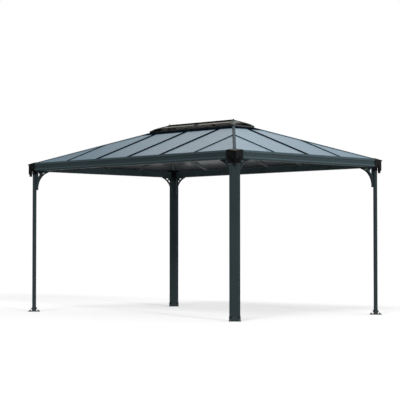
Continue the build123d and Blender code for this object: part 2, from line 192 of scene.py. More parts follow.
def joined(surfaces: list[Surface]) -> Surface:
    """Puts several surfaces into one.

    Args:
        surfaces: the surfaces, each with its own points.

    Returns:
        The surface with all their points and faces.
    """
    counts = np.cumsum([0] + [len(one.points) for one in surfaces])
    faces = [group + start for one, start in zip(surfaces, counts) for group in one.faces]
    return Surface(np.concatenate([one.points for one in surfaces]), faces)


def capped(grid: np.ndarray, ring: bool = False) -> Surface:
    """Closes a grid of points, shaped (rows, columns, 3), into a surface of four-sided faces.

    The columns close on themselves and run counter-clockwise round the rows' direction, so the faces point
    outwards.

    Args:
        grid: the points, row by row.
        ring: whether the last row also joins the first, which leaves no end faces.

    Returns:
        The closed surface, with an end face on its first and last row unless it is a ring.
    """
    rows, columns = grid.shape[:2]
    row = np.arange(rows if ring else rows - 1)[:, None]
    below, above = row * columns, (row + 1) % rows * columns
    column = np.arange(columns)
    after = (column + 1) % columns
    faces = [np.stack([below + column, below + after, above + after, above + column], -1).reshape(-1, 4)]
    if not ring:
        faces += [column[::-1][None], (column + (rows - 1) * columns)[None]]
    return Surface(grid.reshape(-1, 3), faces)


def around(count: int) -> np.ndarray:
    """Returns evenly spaced angles over a full turn."""
    return np.linspace(0.0, 2 * np.pi, count, endpoint=False)


def turned(radii: np.ndarray, heights: np.ndarray) -> Surface:
    """Turns a profile about Z: point = (radius cos angle, radius sin angle, height).

    Args:
        radii: radius of each row, shaped (rows,), or of each point, shaped (rows, columns).
        heights: height of each row, or of each point.

    Returns:
        The closed surface.
    """
    radii = radii[:, None] * np.ones(COLUMNS) if radii.ndim == 1 else radii
    heights = heights[:, None] * np.ones_like(radii) if heights.ndim == 1 else heights
    angles = around(radii.shape[1])
    return capped(np.stack([radii * np.cos(angles), radii * np.sin(angles), heights], -1))


def hex_head(flats: float, height: float, chamfer: float = 0.14) -> Surface:
    """Makes a hexagon prism whose top corners are turned off: radius = the lesser of hexagon and circle.

    The hexagon's radius is half the flats over the cosine of the angle off the nearest flat.

    Args:
        flats: distance across the flats.
        height: height of the head or nut.
        chamfer: share of the height that the turned chamfer takes.

    Returns:
        The closed surface, standing on Z = 0.
    """
    off_flat = (around(COLUMNS) + np.pi / 6) % (np.pi / 3) - np.pi / 6
    outline = flats / 2 / np.cos(off_flat)
    top = np.minimum(outline, flats / 2) * (1 - chamfer / 2)
    rows = np.stack([outline, np.maximum(outline * (1 - chamfer / 8), top), top])
    return turned(rows, height * np.array([0.0, 1 - chamfer, 1.0]))


def dome(radius: float, height: float, edge: float = 0.25, sweep: float = 78.0, rows: int = 7) -> Surface:
    """Makes a low domed head: radius = cosine and height = sine of an angle, over a short upright edge.

    Args:
        radius: radius of the head.
        height: height of the head.
        edge: share of the height that is upright.
        sweep: the angle in degrees that the dome takes up.
        rows: number of rows over the dome.

    Returns:
        The closed surface, standing on Z = 0.
    """
    angles = np.radians(np.linspace(0.0, sweep, rows))
    rise = edge + (1 - edge) * np.sin(angles) / np.sin(angles[-1])
    return turned(radius * np.append(1.0, np.cos(angles)), height * np.append(0.0, rise))


def swept(profile: np.ndarray, path: np.ndarray, side: np.ndarray, up: np.ndarray,
          ring: bool = False) -> Surface:
    """Carries a closed profile along a path: point = path + first times side + second times up.

    Args:
        profile: the profile's points, counter-clockwise, shaped (columns, 2).
        path: the path's points, shaped (rows, 3).
        side: the profile's first direction at each path point, or one for all.
        up: the profile's second direction, likewise; side x up is the path's way.
        ring: whether the path closes on itself.

    Returns:
        The closed surface.
    """
    side, up = np.broadcast_to(side, path.shape), np.broadcast_to(up, path.shape)
    grid = path[:, None] + profile[None, :, :1] * side[:, None] + profile[None, :, 1:] * up[:, None]
    return capped(grid, ring)


def mitres(path: np.ndarray, up: np.ndarray, ring: bool) -> np.ndarray:
    """Gives each point of a bent path the side direction that keeps a profile's width round the bend.

    With n and m the sides of the two runs that meet, the direction is (n + m) / (1 + n.m).

    Args:
        path: the path's points, shaped (rows, 3).
        up: the direction that all the runs are square to.
        ring: whether the path closes on itself.

    Returns:
        The side directions, shaped (rows, 3).
    """
    runs = np.roll(path, -1, 0) - path
    runs /= np.linalg.norm(runs, axis=1, keepdims=True)
    before, after = np.roll(runs, 1, 0), runs.copy()
    if not ring:
        before[0], after[-1] = runs[0], runs[-2]
    left, right = np.cross(up, before), np.cross(up, after)
    return (left + right) / (1 + np.sum(left * right, 1, keepdims=True))


def bead(radius: float, sides: int = 10) -> np.ndarray:
    """Returns a round profile, counter-clockwise: (radius cos angle, radius sin angle)."""
    return radius * np.stack([np.cos(around(sides)), np.sin(around(sides))], -1)


def add_piece(name: str, surface: Surface, material: bpy.types.Material,
              smooth_degrees: float = 40.0) -> bpy.types.Object:
    """Puts a surface into the scene as a piece that rides on the frame.

    Args:
        name: name of the piece.
        surface: its points and faces, in place.
        material: its finish.
        smooth_degrees: edges sharper than this stay sharp.

    Returns:
        The new object.
    """
    mesh = bpy.data.meshes.new(name)
    mesh.from_pydata(surface.points.tolist(), [], [row for group in surface.faces for row in group.tolist()])
    mesh.validate()
    mesh.polygons.foreach_set("use_smooth", np.ones(len(mesh.polygons), bool))
    mesh.set_sharp_from_angle(angle=math.radians(smooth_degrees))
    mesh.materials.append(material)
    piece = bpy.data.objects.new(name, mesh)
    bpy.context.scene.collection.objects.link(piece)
    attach(piece, BODY)
    LOG.info("%s: %d points, %d faces", name, len(mesh.vertices), len(mesh.polygons))
    return piece


def linear(code: str) -> tuple[float, float, float, float]:
    """Turns an sRGB hex colour into linear light.

    Args:
        code: six hex digits.

    Returns:
        Red, green, blue and an alpha of one.
    """
    values = np.array([int(code[at:at + 2], 16) for at in (0, 2, 4)]) / 255
    light = np.where(values <= 0.04045, values / 12.92, ((values + 0.055) / 1.055) ** 2.4)
    return (*light.tolist(), 1.0)


class Nodes:
    """The node tree of a material or of the world while it is filled."""

    def __init__(self, owner: bpy.types.Material | bpy.types.World) -> None:
        """Starts an empty tree on its owner."""
        owner.use_nodes = True
        self.tree = owner.node_tree
        self.tree.nodes.clear()

    def add(self, kind: str, out: int | str = 0, inputs: dict | None = None,
            **settings: str | bool) -> Socket | None:
        """Adds one node with its settings and links.

        Args:
            kind: Blender's name for the kind of node.
            out: the name or number of the output that is wanted.
            inputs: values, or other nodes' outputs, by the name or number of the input that they feed.
            settings: values by the name of the node's attribute.

        Returns:
            The wanted output, or nothing from a node that has no outputs.
        """
        node = self.tree.nodes.new(kind)
        for name, value in settings.items():
            setattr(node, name, value)
        for key, value in (inputs or {}).items():
            if isinstance(value, Socket):
                self.tree.links.new(value, node.inputs[key])
            else:
                node.inputs[key].default_value = value
        return node.outputs[out] if node.outputs else None


@dataclass(frozen=True)
class Finish:
    """What the finishes share: two colours that a pattern mixes, and a roughness that follows the pattern."""

    name: str
    base: str
    varied: str
    roughness: float = 0.6
    spread: float = 0.06
    specular: float = 0.06
    ior: float = 1.5
    metallic: float = 0.0
    bump: float = 0.12
    bump_height: float = 0.0005

    def shader(self, nodes: Nodes) -> Socket:
        """Returns the shader that each kind of finish makes with its own nodes."""
        raise NotImplementedError

    def coated(self, nodes: Nodes, share: Socket, pattern: Socket, relief: Socket | None = None,
               layers: tuple[tuple[Socket, str], ...] = ()) -> Socket:
        """Adds the colour and the shader. Bare metal has no relief, and keeps the default IOR.

        Args:
            nodes: the material's nodes.
            share: what mixes the two colours.
            pattern: what the roughness follows.
            relief: the height of the fine relief.
            layers: what lies over the two colours, each as its share and its colour.

        Returns:
            The shader.
        """
        colour = linear(self.base)
        for cover, code in ((share, self.varied), *layers):
            colour = nodes.add("ShaderNodeMix", 2, {0: cover, 6: colour, 7: linear(code)}, data_type="RGBA")
        rough = nodes.add("ShaderNodeMapRange", 0, {
            "Value": pattern, "To Min": self.roughness - self.spread, "To Max": self.roughness + self.spread})
        inputs = {"Base Color": colour, "Roughness": rough, "Metallic": self.metallic}
        if relief is not None:
            bump = nodes.add("ShaderNodeBump", 0, {
                "Strength": self.bump, "Distance": self.bump_height, "Height": relief})
            inputs |= {"IOR": self.ior, "Specular IOR Level": self.specular, "Normal": bump}
        return nodes.add("ShaderNodeBsdfPrincipled", 0, inputs)

    def material(self) -> bpy.types.Material:
        """Returns the finish as a node material."""
        material = bpy.data.materials.new(self.name)
        nodes = Nodes(material)
        nodes.add("ShaderNodeOutputMaterial", inputs={0: self.shader(nodes)})
        return material


@dataclass(frozen=True)
class PowderCoat(Finish):
    """Powder coat baked on extruded aluminium: an even satin skin with fine orange peel and faint clouding.

    The eye sees a dull, slightly soft highlight on each flat, and a little dust where the coat meets the
    ground. The peel is drawn at 4 mm, about twice its real size, so that it shows.
    """

    dust: str = "5d6261"
    bump_height: float = 0.0006
    peel: float = 0.004
    cloud_size: float = 0.45
    dust_height: float = 0.16
    dust_share: float = 0.10
    # painted light and shade: the colour the coat takes below the roof's top face, the sheets' painted
    # underside grey in place of the coat's own colour
    under: str = ""

    def under_roof_painted_mask(self, nodes: Nodes, place: Socket) -> Socket:
        """Marks what lies below the roof's top face, which rises with the distance in from the nearest eave.

        Args:
            nodes: the material's nodes.
            place: the place on the object.

        Returns:
            One below the roof and nought above it.
        """
        layout = Layout()
        parts = nodes.add("ShaderNodeSeparateXYZ", inputs={0: place}).node.outputs
        runs = {}
        for index, (axis, half) in enumerate((("X", layout.half_x), ("Y", layout.half_y))):
            size = nodes.add("ShaderNodeMath", 0, {0: parts[axis]}, operation="ABSOLUTE")
            runs[index] = nodes.add("ShaderNodeMath", 0, {0: half, 1: size}, operation="SUBTRACT")
        run = nodes.add("ShaderNodeMath", 0, runs, operation="MINIMUM")
        roof = nodes.add("ShaderNodeMath", 0, {0: run, 1: layout.rise, 2: layout.roof_at_posts},
                         operation="MULTIPLY_ADD")
        return nodes.add("ShaderNodeMath", 0, {0: parts["Z"], 1: roof}, operation="LESS_THAN")

    def shader(self, nodes: Nodes) -> Socket:
        """Adds the coat: clouds mix its two colours, and dust covers its foot.

        Args:
            nodes: the material's nodes.

        Returns:
            The shader.
        """
        place = nodes.add("ShaderNodeTexCoord", "Object")
        cloud = nodes.add("ShaderNodeTexNoise", "Fac", {
            "Vector": place, "Scale": 1 / self.cloud_size, "Detail": 4.0})
        peel = nodes.add("ShaderNodeTexNoise", "Fac", {
            "Vector": place, "Scale": 1 / self.peel, "Detail": 2.0})
        height = nodes.add("ShaderNodeSeparateXYZ", "Z", {0: place})
        low = nodes.add("ShaderNodeMapRange", 0, {
            "Value": height, "From Max": self.dust_height, "To Min": self.dust_share, "To Max": 0.0})
        dusty = nodes.add("ShaderNodeMath", 0, {0: low, 1: peel}, operation="MULTIPLY")
        layers = ((dusty, self.dust),)
        # painted: below the roof the coat gives way to the under colour, so the bars and hips there show the
        # underside's painted grey
        if self.under:
            layers += ((self.under_roof_painted_mask(nodes, place), self.under),)
        return self.coated(nodes, cloud, cloud, peel, layers)


@dataclass(frozen=True)
class MouldedPlastic(Finish):
    """Polypropylene moulded in a grained tool: near black, with a fine leather grain that dulls its shine.

    The eye sees hardly any form in its shade, and a film of dust on what faces up. The grain is drawn at
    2.5 mm, coarser than its real 1 mm, so that it shows; the worn patches are about 70 mm across.
    """

    roughness: float = 0.45
    spread: float = 0.08
    specular: float = 0.08
    ior: float = 1.49
    bump: float = 0.15
    grain: float = 0.0025
    patch_scale: float = 14.0
    dust: str = "5c5b57"
    dust_from: float = 0.6
    dust_full: float = 0.95

    def shader(self, nodes: Nodes) -> Socket:
        """Adds the plastic: patches mix its two colours, and dust lies where the face looks up.

        Args:
            nodes: the material's nodes.

        Returns:
            The shader.
        """
        place = nodes.add("ShaderNodeTexCoord", "Object")
        grain = nodes.add("ShaderNodeTexVoronoi", "Distance", {"Vector": place, "Scale": 1 / self.grain})
        patch = nodes.add("ShaderNodeTexNoise", "Fac", {
            "Vector": place, "Scale": self.patch_scale, "Detail": 5.0})
        facing = nodes.add("ShaderNodeSeparateXYZ", "Z", {0: nodes.add("ShaderNodeNewGeometry", "Normal")})
        upward = nodes.add("ShaderNodeMapRange", 0, {
            "Value": facing, "From Min": self.dust_from, "From Max": self.dust_full})
        dusty = nodes.add("ShaderNodeMath", 0, {0: upward, 1: patch}, operation="MULTIPLY")
        return self.coated(nodes, patch, patch, grain, ((dusty, self.dust),))


@dataclass(frozen=True)
class TwinWallSheet(Finish):
    """Extruded twin-wall polycarbonate, tinted: a smooth weather skin over flutes that run up the slope.

    The eye sees a cool satin sheet with faint lines and a soft haze of dust. Its faces that look down are a
    duller, darker grey, which is painted shade for the underside. A share of the light passes each skin, so
    that what stands under the sheet isn't in full shade. The flutes are drawn 24 mm apart: the real 6 mm
    wouldn't show.
    """

    roughness: float = 0.29
    specular: float = 0.35
    ior: float = 1.58
    bump: float = 0.05
    # painted shade: the darker grey that the faces looking down take in place of the sheet's outer colours
    inner: str = "666a6c"
    run: FluteRun = FluteRun.COUNTED_ON_X
    flute: float = 0.024
    flute_share: float = 0.05
    haze_scale: float = 1.6
    passing: float = 0.62

    def shader(self, nodes: Nodes) -> Socket:
        """Adds the sheet: haze and flutes mix its outer colours, and painted shade greys the faces that look
        down.

        Args:
            nodes: the material's nodes.

        Returns:
            The shader.
        """
        place = nodes.add("ShaderNodeTexCoord", "Object")
        across = nodes.add("ShaderNodeSeparateXYZ", self.run.value, {0: place})
        phase = nodes.add("ShaderNodeMath", 0, {0: across, 1: 2 * math.pi / self.flute}, operation="MULTIPLY")
        flute = nodes.add("ShaderNodeMath", 0, {0: phase}, operation="SINE")
        haze = nodes.add("ShaderNodeTexNoise", "Fac", {
            "Vector": place, "Scale": self.haze_scale, "Detail": 5.0, "Roughness": 0.6})
        share = nodes.add("ShaderNodeMath", 0, {0: flute, 1: self.flute_share, 2: haze},
                          operation="MULTIPLY_ADD")
        # painted shade: the faces that look down take the inner grey
        facing = nodes.add("ShaderNodeSeparateXYZ", "Z", {0: nodes.add("ShaderNodeNewGeometry", "Normal")})
        below = nodes.add("ShaderNodeMath", 0, {0: facing, 1: 0.0}, operation="LESS_THAN")
        skin = self.coated(nodes, share, haze, flute, ((below, self.inner),))
        shade = nodes.add("ShaderNodeMath", 0, {
            0: nodes.add("ShaderNodeLightPath", "Is Shadow Ray"), 1: self.passing}, operation="MULTIPLY")
        clear = nodes.add("ShaderNodeBsdfTransparent", 0, {"Color": linear(WHITE)})
        return nodes.add("ShaderNodeMixShader", 0, {0: shade, 1: skin, 2: clear})


@dataclass(frozen=True)
class PlatedSteel(Finish):
    """Zinc-plated steel from the turning shop: a pale, slightly mottled metal with a soft shine.

    The zinc's spangle is drawn at 6 mm so that it shows on a nut.
    """

    roughness: float = 0.4
    spread: float = 0.1
    metallic: float = 1.0
    spangle: float = 0.006
    mottle_scale: float = 60.0

    def shader(self, nodes: Nodes) -> Socket:
        """Adds the metal: a mottle over the spangle mixes its two colours.

        Args:
            nodes: the material's nodes.

        Returns:
            The shader.
        """
        place = nodes.add("ShaderNodeTexCoord", "Object")
        spangle = nodes.add("ShaderNodeTexVoronoi", "Color", {"Vector": place, "Scale": 1 / self.spangle})
        mottle = nodes.add("ShaderNodeTexNoise", "Fac", {
            "Vector": spangle, "Scale": self.mottle_scale, "Detail": 4.0})
        return self.coated(nodes, mottle, mottle)


@dataclass(frozen=True)
class AnodisedMetal(Finish):
    """Dark anodised aluminium, drawn through a die: it mirrors the studio dimly, in faint streaks.

    The draw lines are drawn 4 mm apart: real ones wouldn't show.
    """

    roughness: float = 0.3
    metallic: float = 1.0
    line_scale: tuple[float, float, float] = (3.0, 3.0, 250.0)

    def shader(self, nodes: Nodes) -> Socket:
        """Adds the metal: streaks along its length mix its two colours.

        Args:
            nodes: the material's nodes.

        Returns:
            The shader.
        """
        place = nodes.add("ShaderNodeTexCoord", "Object")
        lines = nodes.add("ShaderNodeMapping", 0, {"Vector": place, "Scale": self.line_scale})
        streak = nodes.add("ShaderNodeTexNoise", "Fac", {"Vector": lines, "Scale": 1.0, "Detail": 3.0})
        return self.coated(nodes, streak, streak)


@dataclass(frozen=True)
class FloorPaper(Finish):
    """Matt white studio paper: white where it is lit, with the object's shadow kept, and grey to bounces."""

    glow: float = 0.30

    def shader(self, nodes: Nodes) -> Socket:
        """Adds the paper: rays that show it see the lit colour and a glow, and the rest its plain colour.

        Args:
            nodes: the material's nodes.

        Returns:
            The shader.
        """
        path = nodes.add("ShaderNodeLightPath").node.outputs
        seen = path["Is Camera Ray"]
        for ray in ("Is Glossy Ray", "Is Transmission Ray"):
            seen = nodes.add("ShaderNodeMath", 0, {0: seen, 1: path[ray]}, operation="MAXIMUM")
        plain = nodes.add("ShaderNodeBsdfDiffuse", 0, {"Color": linear(self.base)})
        lit = nodes.add("ShaderNodeBsdfDiffuse", 0, {"Color": linear(self.varied)})
        glow = nodes.add("ShaderNodeEmission", 0, {"Color": linear(WHITE), "Strength": self.glow})
        white = nodes.add("ShaderNodeAddShader", 0, {0: lit, 1: glow})
        return nodes.add("ShaderNodeMixShader", 0, {0: seen, 1: plain, 2: white})


class Finishes:
    """The gazebo's finishes as materials, made once."""

    def __init__(self) -> None:
        """Makes every material."""
        # under is painted: the grey that the bars and hips take below the roof, to match the sheets' painted
        # underside
        grey, under = ("7b94a6", "86a0ae"), "666a6c"
        self.frame = PowderCoat("anthracite_powder_coat", "2e393c", "354144").material()
        # painted shade: the posts take a darker copy of the frame's coat
        self.post = PowderCoat("anthracite_powder_coat_post_painted_shade", "293235", "303a3d").material()
        # painted light: the gutter rolls take a lighter copy of the frame's coat
        self.roll = PowderCoat("anthracite_powder_coat_roll_painted_light", "3c4a4e", "435257").material()
        self.foot = PowderCoat("anthracite_powder_coat_foot", "2a3335", "323c3f", dust_share=0.3).material()
        self.bar = PowderCoat("blue_black_powder_coat", "080e15", "0c141d", roughness=0.7, specular=0.0,
                              under=under).material()
        self.hip = PowderCoat("grey_powder_coat", "4a545b", "525d64", roughness=0.55, under=under).material()
        # painted light: the vent's hip covers are pale grey, which stands in for the light that the lit
        # corner's cover catches
        self.cover = PowderCoat("pale_grey_powder_coat_painted_light", "656b69", "6d7370", specular=0.0).material()
        self.curb = AnodisedMetal("dark_anodised_aluminium", "4f5354", "444849").material()
        self.plastic = MouldedPlastic("black_polypropylene", "0b0c0d", "131415").material()
        self.sheet_long = TwinWallSheet("grey_polycarbonate_long", *grey).material()
        self.sheet_short = TwinWallSheet("grey_polycarbonate_short", *grey,
                                         run=FluteRun.COUNTED_ON_Y).material()
        # the bronze cap's inner colour is painted shade on its faces that look down
        self.cap_sheet = TwinWallSheet("bronze_polycarbonate", "77726a", "837e75", inner="55534e").material()
        self.rubber = MouldedPlastic("black_seal_rubber", "060708", "0c0d0e", roughness=0.6, specular=0.04,
                                     dust="0c0d0e").material()
        self.steel = PlatedSteel("zinc_plated_steel", "9a9d9f", "7d8184").material()
        self.black_steel = MouldedPlastic("blackened_screw_steel", "131415", "1d1f20",
                                          roughness=0.32).material()

    def dress(self, nodes: dict[str, bpy.types.Object], subparts: list[dict]) -> None:
        """Gives every CAD node its material.

        Args:
            nodes: the CAD objects by name.
            subparts: the record's list of nodes and their slots.
        """
        by_slot = {"frame_metal": self.frame, "foot_metal": self.foot, "bar_metal": self.bar,
                   "hip_metal": self.hip, "corner_plastic": self.plastic, "roof_panel": self.sheet_long,
                   "cap_panel": self.cap_sheet}
        by_name = {"left_roof_panels": self.sheet_short, "right_roof_panels": self.sheet_short,
                   "vent_curb": self.curb}
        for subpart in subparts:
            name = subpart["node"]
            material = by_name.get(name, by_slot[subpart["material_slot"]])
            # painted shade: a post gets the darker copy of the frame's coat
            if name.endswith("_post"):
                material = self.post
            mesh = nodes[name].data
            mesh.materials.clear()
            mesh.materials.append(material)
            LOG.info("%s: %s", name, material.name)


@dataclass
class Assembly:
    """A sub-assembly of dressing pieces, with the layout it is set against and its finishes."""

    layout: Layout
    finishes: Finishes

    def on_corners(self, local: Surface) -> Surface:
        """Returns copies of a surface in the frames of the four corners."""
        return joined([local.stamped(corner.axes(), self.layout.corner_place(corner)) for corner in Corner])

    def on_side(self, local: Surface, side: Side) -> Surface:
        """Returns a surface moved out of a side's frame, whose origin is midway between the posts."""
        return local.stamped(side.axes(), self.layout.side_place(side))

    def on_slope(self, local: Surface, side: Side, place: float = 0.0) -> Surface:
        """Returns a surface moved out of a slope's frame, whose origin is at a place along the eave."""
        foot = np.array([place, 0.0, self.layout.roof_at_posts])
        return self.on_side(local.stamped(self.layout.slope_axes(), foot), side)

    def on_walls(self, local: Surface, spots: Spots) -> Surface:
        """Copies a surface to spots on the outer faces, at both ends of every side, so that it stands out.

        Args:
            local: the surface, standing on Z = 0.
            spots: for each spot, its distance from the post, its height and its face's distance out.

        Returns:
            One surface that holds all the copies.
        """
        axes, places = [], []
        for side in Side:
            along, inwards, up = side.axes()
            for end in ENDS:
                for run, height, face in spots:
                    spot = end * (self.layout.half_span(side) - run) * along - face * inwards + height * up
                    axes.append([along, up, -inwards])
                    places.append(self.layout.side_place(side) + spot)
        return local.stamped(np.array(axes), np.array(places))


@dataclass
class FootFixings(Assembly):
    """The anchors on the base plates and the bolts through the collars."""

    plate_top: float = 0.006
    anchor_offset: float = 0.058
    washer_radius: float = 0.012
    washer_height: float = 0.0022
    nut_flats: float = 0.017
    nut_height: float = 0.0085
    stud_radius: float = 0.005
    stud_height: float = 0.021
    collar_face: float = 0.0278
    collar_height: float = 0.046
    collar_offset: float = 0.046
    flange_radius: float = 0.0115
    head_flats: float = 0.015
    head_height: float = 0.0095

    def anchor(self) -> Surface:
        """Returns one anchor: a washer, a nut and the end of a stud, on the plate's top."""
        washer = turned(self.washer_radius * np.array([1.0, 1.0, 0.94]),
                        self.washer_height * np.array([0.0, 0.8, 1.0]))
        stud = turned(self.stud_radius * np.array([1.0, 1.0, 0.8]),
                      self.stud_height * np.array([0.0, 0.94, 1.0]))
        nut = hex_head(self.nut_flats, self.nut_height)
        nut.points[:, 2] += self.washer_height
        return joined([washer, nut, stud])

    def collar_bolt(self) -> Surface:
        """Returns one flanged bolt head, standing on Z = 0."""
        flange = turned(self.flange_radius * np.array([1.0, 1.0, 0.75]),
                        self.head_height * np.array([0.0, 0.16, 0.34]))
        return joined([flange, hex_head(self.head_flats, self.head_height)])

    def build(self) -> None:
        """Adds four anchors and four collar bolts to each foot, placed in the corner's frame."""
        out, across = np.repeat(ENDS, 2), np.tile(ENDS, 2)
        square = np.stack([out, across, np.ones(4)], -1)
        spots = square * [self.anchor_offset, self.anchor_offset, self.plate_top]
        anchors = self.anchor().stamped(np.eye(3), spots)
        axes = np.stack([np.outer(out, INWARDS), np.tile(UP, (4, 1)), np.outer(out, ALONG)], 1)
        spots = square * [self.collar_face, self.collar_offset, self.collar_height]
        bolts = self.collar_bolt().stamped(axes, spots)
        add_piece("anchor_nuts", self.on_corners(anchors), self.finishes.steel)
        add_piece("collar_bolts", self.on_corners(bolts), self.finishes.black_steel)


@dataclass
class PostSeals(Assembly):
    """The soft beads where each post leaves its collar and enters the connector's sleeve."""

    flat: float = 0.041
    half_width: float = 0.069
    half_depth: float = 0.0235
    half_edge: float = 0.0175
    radius: float = 0.0022
    heights: tuple[float, ...] = (0.062, 1.980)

    def build(self) -> None:
        """Adds the beads as rings round the posts' sections, whose two halves are alike."""
        half = np.array([(-self.half_depth, -self.flat, 0.0), (-self.half_edge, -self.half_width, 0.0),
                         (self.half_edge, -self.half_width, 0.0), (self.half_depth, -self.flat, 0.0)])
        ring = np.concatenate([half, -half])
        seal = swept(bead(self.radius), ring, mitres(ring, UP, True), UP, True)
        seals = self.on_corners(seal.stamped(np.eye(3), np.outer(self.heights, UP)))
        add_piece("post_seals", seals, self.finishes.rubber)


@dataclass
class GutterGaskets(Assembly):
    """The gaskets that close the joints between the gutter beams and the corner connectors."""

    section: tuple[tuple[float, float], ...] = (
        (-0.030, 0.0), (0.058, 0.0), (0.066, 0.012), (0.066, 0.029), (0.061, 0.034),
        (0.061, 0.078), (0.066, 0.083), (0.066, 0.102), (0.059, 0.115))
    joint: float = 0.0842
    half_width: float = 0.0045
    proud: float = 0.0016
    seat: float = 0.0008

    def build(self) -> None:
        """Adds one gasket at each end of each gutter beam: a flat strip carried round its outer section."""
        out, rise = np.array(self.section).T
        flat = np.array([(-self.half_width, -self.seat), (self.half_width, -self.seat),
                         (self.half_width, self.proud), (-self.half_width, self.proud)])
        strips = []
        for end in ENDS:
            for side in Side:
                at = np.full_like(out, end * (self.layout.half_span(side) - self.joint))
                path = np.stack([at, -out, rise + self.layout.beam_underside], -1)
                strips.append(self.on_side(swept(flat, path, ALONG, -mitres(path, ALONG, False)), side))
        add_piece("gutter_gaskets", joined(strips), self.finishes.rubber, CRISP)


@dataclass
class GutterRolls(Assembly):
    """The rolled edges along the gutter beams' outer faces, a tall one on the shoulder and one on the lip.

    Each has its back's distance out from the posts' line, its depth, its middle's height and half its height.
    """

    rolls: tuple[tuple[float, float, float, float], ...] = (
        (0.0620, 0.0070, 2.1275, 0.0160), (0.0625, 0.0060, 2.0520, 0.0105))
    stop: float = 0.0895
    steps: int = 13

    def build(self) -> None:
        """Adds both rolls to each beam: half an ellipse on a flat back, carried from gasket to gasket."""
        turn = np.linspace(0.5 * np.pi, -0.5 * np.pi, self.steps)
        rolls = []
        for side in Side:
            path = np.outer(ENDS * (self.layout.half_span(side) - self.stop), ALONG)
            for back, depth, middle, reach in self.rolls:
                section = np.stack([-back - depth * np.cos(turn), middle + reach * np.sin(turn)], -1)
                rolls.append(self.on_side(swept(section, path, INWARDS, UP), side))
        # painted light: the rolls' coat is a lighter copy of the frame's, for the light that their rounded
        # edges catch
        add_piece("gutter_rolls", joined(rolls), self.finishes.roll)


@dataclass
class BarDress(Assembly):
    """The seals, screws and end plugs of the glazing bars."""

    lip_height: float = 0.0024
    screw_radius: float = 0.0042
    screw_height: float = 0.0022
    screw_pitch: float = 0.29
    screw_margin: float = 0.06
    plug_wider: float = 0.0045
    plug_depth: float = 0.004
    plug_height: float = 0.009
    plug_set: float = 0.001
    plug_power: float = 0.4
    plug_lift: float = 0.00225
    plug_tilt: float = 0.48 * math.pi
    plug_rows: int = 11
    plug_smooth: float = 60.0
    seals: list[Surface] = field(default_factory=list)
    screws: list[Surface] = field(default_factory=list)
    plugs: list[Surface] = field(default_factory=list)

    def plug(self, half: float) -> Surface:
        """Makes a bar's end plug as a superellipsoid: each axis is a power of the cosine or sine of an angle.

        Args:
            half: half the width of the bar's cap.

        Returns:
            The closed surface about the origin.
        """
        turn = around(COLUMNS)[None]
        tilt = np.linspace(-self.plug_tilt, self.plug_tilt, self.plug_rows)[:, None]
        waves = (np.cos(turn), np.sin(turn), np.cos(tilt), np.sin(tilt))
        along, inwards, ring, level = (np.sign(wave) * np.abs(wave) ** self.plug_power for wave in waves)
        return capped(np.stack([(half + self.plug_wider) * ring * along, self.plug_depth * ring * inwards,
                                self.plug_height * level * np.ones_like(along)], -1))

    def dress_bar(self, side: Side, place: float) -> None:
        """Adds one bar's two seals, its row of screws and its end plug, worked out in the slope's frame.

        Args:
            side: the side whose slope carries the bar.
            place: the bar's place along the eave.
        """
        layout, stretch = self.layout, self.layout.stretch()
        half, lip = layout.bar_sizes(side, place)
        span = layout.half_span(side) - layout.hip_clear
        run = span - abs(place) if layout.is_jack(side, place) else layout.curb_run()
        low, top = -layout.overhang * stretch, run * stretch
        profile = bead(1.0) * [lip / 2, self.lip_height / 2]
        for hand in ENDS:
            across = hand * (half + lip / 2)
            stop = min(top, (span - abs(place + across) - lip / 2) * stretch)
            line = np.array([[across, low, self.lip_height / 2], [across, stop, self.lip_height / 2]])
            self.seals.append(self.on_slope(swept(profile, line, -ALONG, UP), side, place))
        count = max(2, int((top - low) / self.screw_pitch))
        steps = np.linspace(low + self.screw_margin, top - self.screw_margin, count)
        spots = np.stack([np.zeros(count), steps, np.full(count, layout.bar_height)], -1)
        screws = dome(self.screw_radius, self.screw_height).stamped(np.eye(3), spots)
        self.screws.append(self.on_slope(screws, side, place))
        end = np.array([0.0, low - self.plug_set, self.plug_lift])
        self.plugs.append(self.on_slope(self.plug(half).stamped(np.eye(3), end), side, place))

    def build(self) -> None:
        """Dresses every bar of the four slopes."""
        for side in Side:
            for place in self.layout.bar_places(side):
                self.dress_bar(side, place)
        # painted shade: the wide black seals beside the full bars also stand in for the shade along the bars
        add_piece("bar_seals", joined(self.seals), self.finishes.rubber)
        add_piece("bar_screws", joined(self.screws), self.finishes.black_steel)
        add_piece("bar_end_plugs", joined(self.plugs), self.finishes.plastic,
                  self.plug_smooth)


@dataclass
class HipSeals(Assembly):
    """The seals along both edges of the hip rafters' covers."""

    half: float = 0.0185
    radius: float = 0.002
    sides: int = 8
    start: float = 0.060

    def build(self) -> None:
        """Adds two straight seals to each hip, on the slopes beside its cover."""
        steps = np.array([self.start, self.layout.curb_run() * ROOT_TWO])
        level = self.layout.roof_at_posts + self.layout.rise / ROOT_TWO * (steps - self.half)
        paths = [np.stack([-steps, np.full(2, -hand * self.half), level], -1) for hand in ENDS]
        seals = joined([swept(bead(self.radius, self.sides), path, -INWARDS, UP) for path in paths])
        add_piece("hip_seals", self.on_corners(seals), self.finishes.rubber)


